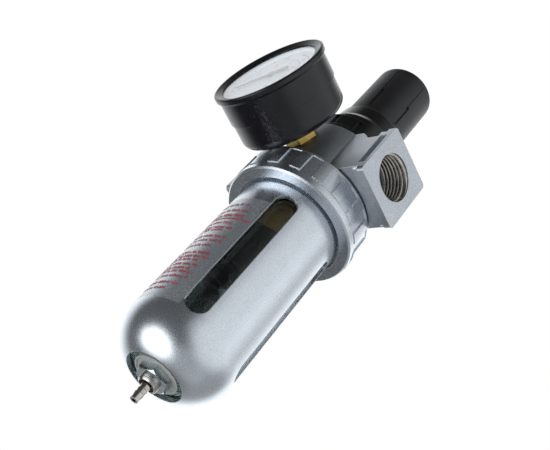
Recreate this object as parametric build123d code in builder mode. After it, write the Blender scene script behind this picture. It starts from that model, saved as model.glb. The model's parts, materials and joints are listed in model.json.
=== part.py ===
from build123d import *
import math
import os

os.makedirs("parts", exist_ok=True)

# ---------------------------------------------------------------- driving values (mm)
# Origin: centre of the inlet port's mouth. +X runs to the outlet, the gauge faces -Y, +Z is up.
# Heights count from the port axis, radii from the main axis, and gauge depths (Y) from the main axis too.
RUN = 0.05                # radial play of a running fit
GAP = 0.4                 # open gap between bodies that do not touch
LAP = 0.5                 # how far a cut runs past the face that it opens
WIRE_GAP = 0.05           # play at each end of a spring

# body
REACH = 40.0              # inlet mouth to the main axis; the outlet mouth lies at twice this
PORT_R = 10.48            # G1/2 major radius
PORT_DEPTH = 14.0
FLANGE_Y = 31.0           # port flange, width and height
FLANGE_Z = 32.5
FLANGE_T = 3.2
TIER_T = 6.4              # second step behind the flange, from the port face
TIER_Z = 28.8
FLANGE_CORNER = 1.8
ARM_TOP = 14.0
ARM_LOW = -13.9
ARM_CHAMFER = 3.9
SHOULDER_OUT = 2.2        # shoulder on the arms, past the round centre
SHOULDER_SLOPE = 3.3
SHOULDER_DROP = 3.0
POCKET_FROM_FACE = 1.5    # side pocket behind the port face
POCKET_W = 3.5
POCKET_H = 21.2
POCKET_DEPTH = 1.9
POCKET_Z = -0.4
BOSS_R = 24.0             # round centre
BODY_TOP = 16.0
TOP_CHAMFER = 0.8
CORE_WALL = 3.0           # tube that holds the valve
CORE_BORE = 10.0
CORE_LENGTH = 11.1
DROP_W = 12.0             # inlet drop to the bowl
DROP_TOP = 5.0
SEAT_R = 5.0
SEAT_LOW = -6.0
SEAT_T = 3.0
OUTLET_R = 11.0           # chamber over the seat
OUTLET_H = 11.0
FLOOR_T = 2.0             # wall between the outlet chamber and the diaphragm
PASSAGE_R = 4.9
GAUGE_Z = 3.0             # height of the gauge ports
GAUGE_PORT_R = 4.86       # G1/8 major radius
SENSE_R = 0.8             # sensing hole
SENSE_AT = 8.0

# bowl, guard and clamp ring
BOWL_R = 22.0
BOWL_WALL = 2.4
BOWL_FLOOR_T = 3.0
BOWL_FIT = 0.35           # bowl in its chamber
SKIRT_WALL = 4.85         # threaded skirt round the chamber
SKIRT_LENGTH = 9.7
ROOF_T = 1.7              # chamber roof, below the arms' underside
BOWL_DROP = 1.4           # roof to the bowl's rim
RING_DROP = 3.3           # rim to the O-ring
RING_WIRE = 0.7
RING_GROOVE = 1.1         # depth and width of its groove
RING_GROOVE_W = 2.0
BOWL_FLANGE_T = 2.0
FLANGE_STEP = 0.4         # bowl flange inside the guard's flange
GUARD_GAP = 0.5           # bowl to guard
GUARD_WALL = 1.8
GUARD_FLANGE_T = 2.4
GUARD_LENGTH = 76.7       # clamp ring's underside to the start of the dome
DOME_RAD = 18.6
OPENING_R = 12.6          # hole in the dome for the drain
SLOT_W = 10.0
SLOT_UNDER_RING = 5.6     # clamp ring's underside to the slot's top
SLOT_LENGTH = 71.0
SLOT_COUNT = 4
SLOT_AZ = 45.0            # first slot, from -Y towards +X
LABEL_T = 0.12
LABEL_UNDER_RING = 13.6
LABEL_LENGTH = 63.0
LABEL_ARC = 66.0
COLLAR_GAP = 0.4          # clamp ring outside the skirt
COLLAR_WALL = 2.8
COLLAR_OVER = 0.7         # arms' underside to the ring's top
COLLAR_HOLE_GAP = 1.2     # ring's lower hole outside the guard
COLLAR_LIP_T = 2.1
PAD_COUNT = 18
PAD_PROUD = 0.6
PAD_DEG = 9.4
PAD_FIRST = 12.8          # azimuth of the first pad, from -Y towards +X
PAD_UNDER_TOP = 1.2
PAD_LENGTH = 11.0
RIM_PROUD = 0.3           # ring's plain bands over and under the pads

# filter
GUIDE_T = 5.5             # valve guide plate inside the core
GUIDE_LIP = 2.0
GUIDE_HUB_R = 8.0
DEFLECTOR_T = 1.4
DEFLECTOR_R = 18.6
DEFLECTOR_VANES = 14
DEFLECTOR_SKIRT = 8.0     # plate's underside to its top face, and the collar above it
DEFLECTOR_COLLAR = 5.0
DEFLECTOR_BEVEL = 1.5
VANE_DEPTH = 3.4          # slanting slots in the deflector
VANE_W = 1.7
VANE_LENGTH = 12.0
VANE_SLANT = 32.0
GUIDE_HOLES = 8
GUIDE_HOLE_R = 1.7
GUIDE_PLUG_T = 1.2
BAFFLE_VANES = 8
ELEMENT_R = 14.0
ELEMENT_WALL = 4.0
ELEMENT_LENGTH = 40.0
BAFFLE_GAP = 0.5          # element inside the baffle's cup
BAFFLE_WALL = 1.4
BAFFLE_CUP = 21.0
BAFFLE_FLOOR = 4.0
BAFFLE_VANE = 3.0
BOLT_R = 2.5
BOLT_AF = 7.0
BOLT_HEAD = 3.4

# drain
DRAIN_R = 4.0             # drain bushing
DRAIN_WALL = 0.7
DRAIN_OUT = 6.8           # bushing below the bowl
DRAIN_FLANGE_R = 7.2
DRAIN_FLANGE_T = 1.4
DRAIN_BOSS_T = 1.0
GASKET_T = 0.8
WASHER_R = 9.7
WASHER_T = 1.2
WASHER_STEP = 0.8
DRAIN_NUT_AF = 12.5
DRAIN_NUT_T = 3.6
DRAIN_NUT_TURN = 15.0
TUBE_R = 2.0              # drain stem
TUBE_BORE = 1.0
TIP_OUT = 7.3             # stem below the bushing
DRAIN_TRAVEL = 2.0
SPRING_POCKET = 0.9       # bushing's shoulder over the bowl's floor
SPRING_ROOM = 4.3         # spring's length with the stem pushed up
STEM_COLLAR_T = 1.0
BARB_DEPTH = 0.25
BARB_PITCH = 2.0
BARB_RISE = 0.3
BARBS = 3
CROSS_HOLE_R = 0.7
WASHER_LIP = 0.7          # raised outer edge of the washer, and the slope inside it
WASHER_DISH = 0.4
NUT_BEVEL = 1.2
HEAD_R = 3.6
HEAD_T = 1.6
SEAL_T = 1.65
DRAIN_WIRE = 0.3
DRAIN_TURNS = 4.2

# bonnet, knob and spring
BONNET_R = 22.6
BONNET_FLANGE_T = 2.6
BONNET_BORE = 14.5
BONNET_ROOF = 41.0
BONNET_TOP = 44.9
NECK_R = 16.6
THREAD_R = 19.0           # panel thread
THREAD_ROOT_R = 18.4      # its root, which the panel nut's bore fills
THREAD_FREE = 6.0         # thread left free over the nut
PANEL_NUT_R = 22.4
PANEL_NUT_T = 8.4
PANEL_NOTCHES = 12
NOTCH_W = 2.2
NOTCH_DEPTH = 0.9
PILLAR_R = 8.0
PILLAR_H = 7.1
VENT_R = 0.9
VENT_Z = 38.0
KNOB_R = 15.0
KNOB_DRAFT = 0.2
KNOB_HEIGHT = 39.8
KNOB_WALL = 3.0
KNOB_ROOF_T = 6.6
KNOB_FILLET = 1.6
KNOB_HUB_R = 7.5
KNOB_GROOVES = 6
GROOVE_FIRST = 21.0       # azimuth of the first groove, from -Y towards +X
GROOVE_W = 0.6
GROOVE_DEPTH = 0.45
GROOVE_LENGTH = 34.0
GROOVE_LOW = 2.0          # groove and notch above the knob's rim
NOTCH_LOW = 3.2
NOTCH_WIDE = 1.4
NOTCH_IN = 0.85
NOTCH_LENGTH = 15.0
SCREW_R = 4.0
SCREW_HEAD_R = 6.5
SCREW_HEAD_T = 2.0
SCREW_LOW = 28.0
HEX_AF = 8.0
HEX_LENGTH = 20.0
HEX_FIT = 0.08
KNOB_LIFT = 3.0
NUT_GAP = 0.5             # spring nut in the bonnet's bore
NUT_T = 3.75
NUT_HUB_R = 7.5
NUT_HUB_T = 3.0
SPRING_R = 10.0
SPRING_WIRE = 1.2
SPRING_TURNS = 4.5
SPRING_LENGTH = 20.0

# diaphragm and valve
DIA_R = 20.5
DIA_T = 1.0
DIA_LEDGE_R = 17.0
STROKE = 1.5
STROKE_ROOM = 0.8         # left under the washer at full stroke
WASHER_PLATE_R = 9.0
WASHER_PLATE_T = 1.15
HUB_R = 2.9
PLATE_R = 13.2
PLATE_T = 1.95
PLATE_HUB_R = 6.5
PLATE_HUB_T = 2.5
STEM_R = 1.5
POPPET_R = 7.2
POPPET_T = 2.8
POPPET_SEAL_T = 1.55
POPPET_TAIL_R = 2.5
POPPET_TAIL = 10.0
VALVE_SPRING_R = 3.5
VALVE_WIRE = 0.35
VALVE_TURNS = 3.5

# gauge
CASE_R = 24.4
CASE_DEPTH = 13.4         # case behind the bezel
CASE_ROUND = 3.8
CASE_WALL = 2.4
CASE_OFF_COLLAR = 0.6
HUB_RISE = 1.0            # raised centre of the case back
HUB_FOOT_R = 13.0
HUB_TOP_R = 12.0
BEZEL_SEAT = 1.0          # bezel's bore, inside the case
BEZEL_BAND = 10.7
BEZEL_OVER = 0.6          # bezel outside the case
LIP_OVER = 1.1            # lip outside the bezel
LIP_FLARE = 1.0
LIP_T = 2.4
LIP_ROUND = 0.7           # width of the lip's rounded rim
LIP_DISH = 1.1            # lip's front to the edge of the window
LIP_EDGE_T = 0.3
WINDOW_STEP = 1.1         # window inside the bezel's bore
LENS_T = 1.4
LENS_LEDGE = 1.4          # width of the case's rim behind the lens
DIAL_GAP = 0.1            # dial in the case
DIAL_T = 0.6
DIAL_RIM = 0.75           # raised rim of the dial, up to the lens
POINTER_LIFT = 0.7
POINTER_T = 0.5
POINTER_UNDER_LENS = 0.5
POINTER_REST = -112.0     # clock angle of the pointer at zero
POINTER_LEN = 17.5
POINTER_TAIL = 8.8
POINTER_HUB_R = 2.0
BLADE_TIP = 0.2           # half widths of the blade at its tip, hub and tail
BLADE_ROOT = 0.9
BLADE_TAIL = 1.6
SOCKET_THREAD = 10.7
SOCKET_BORE = 1.4
SOCKET_R = 5.0
SOCKET_AF = 14.0
SHAFT_R = 0.7
PINION_R = 0.9
MESH_GAP = 0.1            # pinion to sector
PIVOT_DROP = 9.0          # sector pivot below the gauge axis
SECTOR_T = 1.2
SECTOR_HUB_R = 1.6
MOVEMENT_W = 13.0
MOVEMENT_H = 21.0
MOVEMENT_T = 1.0
MOVEMENT_ROOM = 5.2       # between its two plates
BOURDON_INSIDE = 7.9      # bourdon tube's centre line inside the case
TUBE_THICK = 0.9          # half sizes of the flattened tube
TUBE_WIDE = 2.6
BOURDON_ARC = 250.0

# ---------------------------------------------------------------- worked out
OUTLET_X = 2 * REACH
TURNED_Y = FLANGE_Y / 2
SEAT_TOP = SEAT_LOW + SEAT_T
OUTLET_TOP = SEAT_TOP + OUTLET_H
DIA_FLOOR = OUTLET_TOP + FLOOR_T
WASHER_LOW = DIA_FLOOR + STROKE + STROKE_ROOM
DIA_LEDGE = WASHER_LOW + WASHER_PLATE_T + RUN
DIA_TOP = DIA_LEDGE + DIA_T
SPRING_LOW = DIA_TOP + RUN + PLATE_T

CHAMBER_R = BOWL_R + BOWL_FIT
CHAMBER_ROOF = ARM_LOW - ROOF_T
CORE_R = CORE_BORE + CORE_WALL
CORE_END = ARM_LOW - CORE_LENGTH
SKIRT_R = CHAMBER_R + SKIRT_WALL
SKIRT_END = ARM_LOW - SKIRT_LENGTH
GUARD_R = BOWL_R + GUARD_GAP + GUARD_WALL
COLLAR_BORE = SKIRT_R + COLLAR_GAP
COLLAR_R = COLLAR_BORE + COLLAR_WALL
PAD_R = COLLAR_R + PAD_PROUD
COLLAR_TOP = ARM_LOW - COLLAR_OVER
PAD_TOP = COLLAR_TOP - PAD_UNDER_TOP
PAD_LOW = PAD_TOP - PAD_LENGTH
GUARD_FLANGE_R = COLLAR_BORE - GAP
BOWL_TOP = CHAMBER_ROOF - BOWL_DROP
RING_Z = BOWL_TOP - RING_DROP
BOWL_FLANGE_TOP = SKIRT_END - GAP
BOWL_FLANGE_LOW = BOWL_FLANGE_TOP - BOWL_FLANGE_T
GUARD_FLANGE_LOW = BOWL_FLANGE_LOW - GUARD_FLANGE_T
COLLAR_LIP = GUARD_FLANGE_LOW - GAP
COLLAR_LOW = COLLAR_LIP - COLLAR_LIP_T

DOME_Z = COLLAR_LOW - GUARD_LENGTH
DOME_C = GUARD_R - DOME_RAD
DOME_BOWL = BOWL_R - DOME_C
DOME_INNER = DOME_BOWL - BOWL_WALL
BASE_R = OPENING_R - GUARD_GAP
BOWL_BASE = DOME_Z - math.sqrt(DOME_BOWL ** 2 - (BASE_R - DOME_C) ** 2)
BOWL_FLOOR = BOWL_BASE + BOWL_FLOOR_T

ELEMENT_TOP = CORE_END - GUIDE_LIP - ELEMENT_WALL
ELEMENT_END = ELEMENT_TOP - ELEMENT_LENGTH
BAFFLE_BORE = ELEMENT_R + BAFFLE_GAP
BAFFLE_R = BAFFLE_BORE + BAFFLE_WALL
BAFFLE_END = ELEMENT_END - BAFFLE_FLOOR
BOLT_CORNER = BOLT_AF / 2 / math.cos(math.pi / 6)

DRAIN_END = BOWL_BASE - DRAIN_OUT
FLANGE_SEAT = BOWL_FLOOR + GASKET_T
BUSH_TOP = FLANGE_SEAT + DRAIN_FLANGE_T + DRAIN_BOSS_T
NUT_TOP = BOWL_BASE - WASHER_STEP
STEM_TIP = DRAIN_END - TIP_OUT

NUT_LOW = BODY_TOP + BONNET_FLANGE_T
NUT_HIGH = NUT_LOW + PANEL_NUT_T
PILLAR_TOP = BONNET_TOP + PILLAR_H
KNOB_LOW = BONNET_TOP + GAP
KNOB_TOP = KNOB_LOW + KNOB_HEIGHT
HEX_LOW = PILLAR_TOP + RUN + SCREW_HEAD_T
HEX_TOP = HEX_LOW + HEX_LENGTH
SPRING_HIGH = SPRING_LOW + SPRING_LENGTH
SPRING_NUT_R = BONNET_BORE - NUT_GAP

CASE_BACK = -(PAD_R + CASE_OFF_COLLAR)
CASE_STEP = CASE_BACK - CASE_DEPTH
HUB_BACK = CASE_BACK + HUB_RISE
BEZEL_BACK = CASE_STEP - BEZEL_BAND
BEZEL_FRONT = BEZEL_BACK - LIP_FLARE - LIP_T
BEZEL_SEAT_R = CASE_R - BEZEL_SEAT
BEZEL_R = CASE_R + BEZEL_OVER
BEZEL_LIP_R = BEZEL_R + LIP_OVER
WINDOW_R = BEZEL_SEAT_R - WINDOW_STEP
CASE_BORE = BEZEL_SEAT_R - LENS_LEDGE
DIAL_R = CASE_BORE - DIAL_GAP
LENS_FRONT = BEZEL_FRONT + LIP_DISH + LIP_EDGE_T
LENS_BACK = LENS_FRONT + LENS_T
POINTER_Y = LENS_BACK + POINTER_UNDER_LENS + POINTER_T
DIAL_Y = POINTER_Y + POINTER_LIFT
SOCKET_HEX = -(BOSS_R + 0.3)

AX = Axis((REACH, 0, 0), (0, 0, 1))
PROF = Plane(origin=(REACH, 0, 0), x_dir=(1, 0, 0), z_dir=(0, -1, 0))
GAX = Axis((REACH, 0, GAUGE_Z), (0, 1, 0))
GPROF = Plane(origin=(REACH, 0, GAUGE_Z), x_dir=(1, 0, 0), z_dir=(0, 0, 1))


def level(z):
    """Horizontal plane at height z, centred on the main axis."""
    return Plane(origin=(REACH, 0, z))


def facing(y):
    """Plane at depth y, normal to -Y, centred on the gauge axis (sketch x = +X, sketch y = +Z)."""
    return Plane(origin=(REACH, y, GAUGE_Z), x_dir=(1, 0, 0), z_dir=(0, -1, 0))


def radial(azimuth):
    """Half-plane through the main axis, its azimuth counted from -Y towards +X (sketch x = radius)."""
    a = math.radians(azimuth - 90)
    outward = (math.cos(a), math.sin(a), 0)
    return Plane(origin=(REACH, 0, 0), x_dir=outward, z_dir=(math.sin(a), -math.cos(a), 0))


def turned(axis, plane, *points, mode=Mode.ADD):
    """Turns a closed profile once round an axis, in the part that is open."""
    with BuildSketch(plane) as profile:
        Polygon(*points, align=None)
    revolve(profile.sketch, axis=axis, mode=mode)


def coil(radius, wire, low, high, turns):
    """A helical spring on the main axis between two heights, in the part that is open."""
    start = low + WIRE_GAP + wire
    rise = high - low - 2 * (WIRE_GAP + wire)
    with BuildLine() as path:
        Helix(pitch=rise / turns, height=rise, radius=radius, center=(REACH, 0, start))
    with BuildSketch(Plane(origin=(REACH + radius, 0, start), z_dir=(0, 1, 0))) as section:
        Circle(wire)
    sweep(section.sketch, path=path.wires()[0], is_frenet=True)


def save(builder, label):
    builder.part.label = label
    export_step(builder.part, f"parts/{label}.step")


# ---------------------------------------------------------------- body
with BuildPart() as body:
    turned(AX, PROF, (0, BODY_TOP), (BOSS_R, BODY_TOP), (BOSS_R, ARM_LOW), (SKIRT_R, ARM_LOW),
           (SKIRT_R, SKIRT_END), (0, SKIRT_END))
    chamfer(body.edges().filter_by(GeomType.CIRCLE).group_by(Axis.Z)[-1], TOP_CHAMFER)
    # arms with chamfered top edges, and a shoulder beside the round centre
    chamfer_low = ARM_TOP - ARM_CHAMFER
    chamfer_in = TURNED_Y - ARM_CHAMFER
    with BuildSketch(Plane.YZ):
        Polygon((-TURNED_Y, ARM_LOW), (TURNED_Y, ARM_LOW), (TURNED_Y, chamfer_low), (chamfer_in, ARM_TOP),
                (-chamfer_in, ARM_TOP), (-TURNED_Y, chamfer_low), align=None)
    extrude(amount=OUTLET_X)
    shoulder = BOSS_R + SHOULDER_OUT
    shoulder_top = BODY_TOP - TOP_CHAMFER
    with BuildSketch(Plane.XZ.offset(-TURNED_Y)):
        Polygon((REACH - shoulder, 0), (REACH + shoulder, 0),
                (REACH + shoulder, shoulder_top - SHOULDER_DROP),
                (REACH + shoulder - SHOULDER_SLOPE, shoulder_top),
                (REACH - shoulder + SHOULDER_SLOPE, shoulder_top),
                (REACH - shoulder, shoulder_top - SHOULDER_DROP), align=None)
    extrude(amount=FLANGE_Y)
    # port flanges in two steps
    for height, thick in ((FLANGE_Z, FLANGE_T), (TIER_Z, TIER_T)):
        for x in (0, OUTLET_X - thick):
            with BuildSketch(Plane.YZ.offset(x)):
                RectangleRounded(FLANGE_Y, height, FLANGE_CORNER)
            extrude(amount=thick)
    # side pockets behind the port faces
    pocket_x = POCKET_FROM_FACE + POCKET_W / 2
    for x in (pocket_x, OUTLET_X - pocket_x):
        for side in (-1, 1):
            with Locations((x, side * (TURNED_Y + (LAP - POCKET_DEPTH) / 2), POCKET_Z)):
                Box(POCKET_W, POCKET_DEPTH + LAP, POCKET_H, mode=Mode.SUBTRACT)
    # bowl chamber, and the tube inside it that holds the valve
    turned(AX, PROF, (CORE_R, CHAMBER_ROOF), (CHAMBER_R, CHAMBER_ROOF), (CHAMBER_R, SKIRT_END - LAP),
           (CORE_R, SKIRT_END - LAP), mode=Mode.SUBTRACT)
    turned(AX, PROF, (CORE_BORE, CORE_END), (CORE_R, CORE_END), (CORE_R, SKIRT_END + LAP),
           (CORE_BORE, SKIRT_END + LAP))
    # valve bore, seat, outlet chamber, stem hole and diaphragm chamber
    turned(AX, PROF, (0, CORE_END - LAP), (CORE_BORE, CORE_END - LAP), (CORE_BORE, SEAT_LOW),
           (SEAT_R, SEAT_LOW), (SEAT_R, SEAT_TOP), (OUTLET_R, SEAT_TOP), (OUTLET_R, OUTLET_TOP),
           (STEM_R + RUN, OUTLET_TOP), (STEM_R + RUN, DIA_FLOOR), (DIA_LEDGE_R, DIA_FLOOR),
           (DIA_LEDGE_R, DIA_LEDGE), (DIA_R, DIA_LEDGE), (DIA_R, BODY_TOP + LAP), (0, BODY_TOP + LAP),
           mode=Mode.SUBTRACT)
    # threaded ports, as plain bores at the thread's major radius
    for x in (0, OUTLET_X - PORT_DEPTH):
        with BuildSketch(Plane.YZ.offset(x)):
            Circle(PORT_R)
        extrude(amount=PORT_DEPTH, mode=Mode.SUBTRACT)
    # inlet drop to the bowl
    drop_length = REACH - CORE_R - PORT_DEPTH + LAP
    drop_height = DROP_TOP - CHAMBER_ROOF + LAP
    with Locations((PORT_DEPTH - LAP / 2 + drop_length / 2, 0, DROP_TOP - drop_height / 2)):
        Box(drop_length, DROP_W, drop_height, mode=Mode.SUBTRACT)
    # outlet passage and sensing hole
    passage_from = REACH + OUTLET_R - 2 * LAP
    passage_to = OUTLET_X - PORT_DEPTH + LAP
    with BuildSketch(Plane.YZ.offset(passage_from)):
        with Locations((0, GAUGE_Z)):
            Circle(PASSAGE_R)
    extrude(amount=passage_to - passage_from, mode=Mode.SUBTRACT)
    with Locations((REACH + SENSE_AT, 0, OUTLET_TOP + FLOOR_T / 2)):
        Cylinder(SENSE_R, FLOOR_T + 2 * LAP, mode=Mode.SUBTRACT)
    # gauge ports, front and back
    with Locations((REACH, 0, GAUGE_Z)):
        Cylinder(GAUGE_PORT_R, 2 * (BOSS_R + LAP), rotation=(90, 0, 0), mode=Mode.SUBTRACT)
save(body, "body")

# ---------------------------------------------------------------- bonnet and panel nut
with BuildPart() as bonnet:
    thread_top = NUT_HIGH + THREAD_FREE
    turned(AX, PROF, (BONNET_BORE, DIA_TOP), (DIA_R - RUN, DIA_TOP), (DIA_R - RUN, BODY_TOP),
           (BONNET_R, BODY_TOP), (BONNET_R, NUT_LOW), (THREAD_ROOT_R, NUT_LOW), (THREAD_ROOT_R, NUT_HIGH),
           (THREAD_R, NUT_HIGH), (THREAD_R, thread_top), (NECK_R + 1.0, thread_top + 3.0),
           (NECK_R, BONNET_TOP - TOP_CHAMFER), (NECK_R - TOP_CHAMFER, BONNET_TOP), (PILLAR_R, BONNET_TOP),
           (PILLAR_R, PILLAR_TOP), (SCREW_R + RUN, PILLAR_TOP), (SCREW_R + RUN, BONNET_ROOF),
           (BONNET_BORE, BONNET_ROOF))
    # vent to the open air
    with Locations((REACH, (BONNET_BORE + THREAD_R) / 2, VENT_Z)):
        Cylinder(VENT_R, THREAD_R - BONNET_BORE + 2 * LAP, rotation=(90, 0, 0), mode=Mode.SUBTRACT)
save(bonnet, "bonnet")

with BuildPart() as panel_nut:
    turned(AX, PROF, (THREAD_ROOT_R, NUT_LOW), (PANEL_NUT_R, NUT_LOW), (PANEL_NUT_R, NUT_HIGH - LAP),
           (PANEL_NUT_R - LAP, NUT_HIGH), (THREAD_ROOT_R, NUT_HIGH))
    notch_height = PANEL_NUT_T - 2 * LAP
    with Locations(Location((REACH, 0, NUT_LOW + notch_height / 2))):
        with PolarLocations(PANEL_NUT_R, PANEL_NOTCHES, start_angle=180 / PANEL_NOTCHES):
            Box(2 * NOTCH_DEPTH, NOTCH_W, notch_height, mode=Mode.SUBTRACT)
save(panel_nut, "panel_nut")

# ---------------------------------------------------------------- knob and adjusting screw
with BuildPart() as knob:
    knob_bore = KNOB_R - KNOB_WALL
    knob_roof = KNOB_TOP - KNOB_ROOF_T
    hub_low = HEX_LOW + KNOB_LIFT
    turned(AX, PROF, (0, KNOB_TOP), (KNOB_R, KNOB_TOP), (KNOB_R + KNOB_DRAFT, KNOB_LOW),
           (knob_bore, KNOB_LOW), (knob_bore, knob_roof), (KNOB_HUB_R, knob_roof), (KNOB_HUB_R, hub_low),
           (0, hub_low))
    fillet(knob.edges().filter_by(GeomType.CIRCLE).group_by(Axis.Z)[-1], KNOB_FILLET)
    with BuildSketch(level(hub_low - LAP)):
        RegularPolygon(HEX_AF / 2 + HEX_FIT, 6, major_radius=False)
    extrude(amount=HEX_TOP - hub_low + 2 * LAP, mode=Mode.SUBTRACT)
    # fine grooves, each with a deeper notch over its lower half
    with Locations(Location((REACH, 0, KNOB_LOW))):
        with PolarLocations(KNOB_R + KNOB_DRAFT, KNOB_GROOVES, start_angle=GROOVE_FIRST - 90):
            with Locations((0, 0, GROOVE_LOW + GROOVE_LENGTH / 2)):
                Box(2 * GROOVE_DEPTH, GROOVE_W, GROOVE_LENGTH, mode=Mode.SUBTRACT)
            with Locations((0, GROOVE_W, NOTCH_LOW + NOTCH_LENGTH / 2)):
                Box(2 * NOTCH_IN, NOTCH_WIDE, NOTCH_LENGTH, mode=Mode.SUBTRACT)
save(knob, "knob")

with BuildPart() as adjusting_screw:
    turned(AX, PROF, (0, SCREW_LOW), (SCREW_R - TOP_CHAMFER, SCREW_LOW), (SCREW_R, SCREW_LOW + TOP_CHAMFER),
           (SCREW_R, PILLAR_TOP + RUN), (SCREW_HEAD_R, PILLAR_TOP + RUN), (SCREW_HEAD_R, HEX_LOW),
           (0, HEX_LOW))
    with BuildSketch(level(HEX_LOW)):
        RegularPolygon(HEX_AF / 2, 6, major_radius=False)
    extrude(amount=HEX_LENGTH)
save(adjusting_screw, "adjusting_screw")

with BuildPart() as adjusting_nut:
    turned(AX, PROF, (SCREW_R + RUN, SPRING_HIGH - NUT_HUB_T), (NUT_HUB_R, SPRING_HIGH - NUT_HUB_T),
           (NUT_HUB_R, SPRING_HIGH), (SPRING_NUT_R, SPRING_HIGH), (SPRING_NUT_R, SPRING_HIGH + NUT_T),
           (SCREW_R + RUN, SPRING_HIGH + NUT_T))
save(adjusting_nut, "adjusting_nut")

with BuildPart() as main_spring:
    coil(SPRING_R, SPRING_WIRE, SPRING_LOW, SPRING_HIGH, SPRING_TURNS)
save(main_spring, "main_spring")

# ---------------------------------------------------------------- diaphragm group
with BuildPart() as diaphragm:
    turned(AX, PROF, (HUB_R + RUN, DIA_LEDGE), (DIA_R - RUN, DIA_LEDGE), (DIA_R - RUN, DIA_TOP),
           (HUB_R + RUN, DIA_TOP))
save(diaphragm, "diaphragm")

with BuildPart() as diaphragm_plate:
    plate_low = DIA_TOP + RUN
    plate_top = plate_low + PLATE_T
    turned(AX, PROF, (0, WASHER_LOW), (HUB_R, WASHER_LOW), (HUB_R, plate_low), (PLATE_R, plate_low),
           (PLATE_R, plate_top), (PLATE_HUB_R, plate_top), (PLATE_HUB_R, plate_top + PLATE_HUB_T),
           (0, plate_top + PLATE_HUB_T))
save(diaphragm_plate, "diaphragm_plate")

with BuildPart() as diaphragm_washer:
    with BuildSketch(level(WASHER_LOW)):
        Circle(WASHER_PLATE_R)
        Circle(HUB_R, mode=Mode.SUBTRACT)
    extrude(amount=WASHER_PLATE_T)
save(diaphragm_washer, "diaphragm_washer")

# ---------------------------------------------------------------- valve
SEAL_LOW = SEAT_LOW - RUN - POPPET_SEAL_T
POPPET_LOW = SEAL_LOW - POPPET_T
TAIL_LOW = POPPET_LOW - POPPET_TAIL
GUIDE_FLOOR = TAIL_LOW - STROKE - LAP
GUIDE_TOP = GUIDE_FLOOR + GUIDE_T
BOLT_TOP = GUIDE_FLOOR - GUIDE_PLUG_T

with BuildPart() as valve_stem:
    with BuildSketch(level(SEAL_LOW)):
        Circle(STEM_R)
    extrude(amount=WASHER_LOW - RUN - SEAL_LOW)
save(valve_stem, "valve_stem")

with BuildPart() as valve_poppet:
    turned(AX, PROF, (0, TAIL_LOW), (POPPET_TAIL_R, TAIL_LOW), (POPPET_TAIL_R, POPPET_LOW),
           (POPPET_R, POPPET_LOW), (POPPET_R, SEAL_LOW), (0, SEAL_LOW))
save(valve_poppet, "valve_poppet")

with BuildPart() as valve_seal:
    with BuildSketch(level(SEAL_LOW)):
        Circle(POPPET_R - 0.2)
        Circle(STEM_R, mode=Mode.SUBTRACT)
    extrude(amount=POPPET_SEAL_T)
save(valve_seal, "valve_seal")

with BuildPart() as valve_spring:
    coil(VALVE_SPRING_R, VALVE_WIRE, GUIDE_TOP, POPPET_LOW, VALVE_TURNS)
save(valve_spring, "valve_spring")

with BuildPart() as valve_guide:
    guide_low = CORE_END - GUIDE_LIP
    tail_bore = POPPET_TAIL_R + RUN
    turned(AX, PROF, (tail_bore, GUIDE_TOP), (CORE_BORE, GUIDE_TOP), (CORE_BORE, CORE_END),
           (CORE_R - GAP, CORE_END), (CORE_R - GAP, guide_low), (BOLT_R, guide_low),
           (BOLT_R, BOLT_TOP), (0, BOLT_TOP), (0, GUIDE_FLOOR), (tail_bore, GUIDE_FLOOR))
    with Locations(Location((REACH, 0, (GUIDE_TOP + guide_low) / 2))):
        with PolarLocations((tail_bore + CORE_BORE) / 2, GUIDE_HOLES):
            Cylinder(GUIDE_HOLE_R, GUIDE_TOP - guide_low + 2 * LAP, mode=Mode.SUBTRACT)
save(valve_guide, "valve_guide")

# ---------------------------------------------------------------- filter group
with BuildPart() as deflector:
    deflector_low = ELEMENT_TOP
    cone_top = deflector_low + DEFLECTOR_SKIRT
    collar_top = cone_top + DEFLECTOR_COLLAR
    turned(AX, PROF, (CORE_R, collar_top), (CORE_R + DEFLECTOR_T, collar_top),
           (CORE_R + DEFLECTOR_T, cone_top), (DEFLECTOR_R, cone_top),
           (DEFLECTOR_R, deflector_low + DEFLECTOR_BEVEL),
           (ELEMENT_R + 1.0, deflector_low), (GUIDE_HUB_R, deflector_low),
           (GUIDE_HUB_R, deflector_low + ELEMENT_WALL), (CORE_R, deflector_low + ELEMENT_WALL))
    with Locations(Location((REACH, 0, deflector_low + DEFLECTOR_COLLAR))):
        with PolarLocations(DEFLECTOR_R - DEFLECTOR_T, DEFLECTOR_VANES):
            Box(VANE_DEPTH, VANE_W, VANE_LENGTH, rotation=(VANE_SLANT, 0, 0), mode=Mode.SUBTRACT)
save(deflector, "deflector")

with BuildPart() as filter_element:
    with BuildSketch(level(ELEMENT_END)):
        Circle(ELEMENT_R)
        Circle(ELEMENT_R - ELEMENT_WALL, mode=Mode.SUBTRACT)
    extrude(amount=ELEMENT_LENGTH)
save(filter_element, "filter_element")

with BuildPart() as baffle:
    turned(AX, PROF, (BOLT_R, BAFFLE_END), (BAFFLE_BORE, BAFFLE_END), (BAFFLE_R, BAFFLE_END + BAFFLE_WALL),
           (BAFFLE_R, ELEMENT_END + BAFFLE_CUP), (BAFFLE_BORE, ELEMENT_END + BAFFLE_CUP),
           (BAFFLE_BORE, ELEMENT_END), (BOLT_R, ELEMENT_END))
    # quiet-zone vanes under the cup, clear of the bolt's head
    vane_length = BAFFLE_BORE - BOLT_CORNER - 2 * LAP
    with Locations(Location((REACH, 0, BAFFLE_END - BAFFLE_VANE / 2))):
        with PolarLocations(BOLT_CORNER + LAP + vane_length / 2, BAFFLE_VANES):
            Box(vane_length, BAFFLE_WALL, BAFFLE_VANE)
save(baffle, "baffle")

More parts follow.
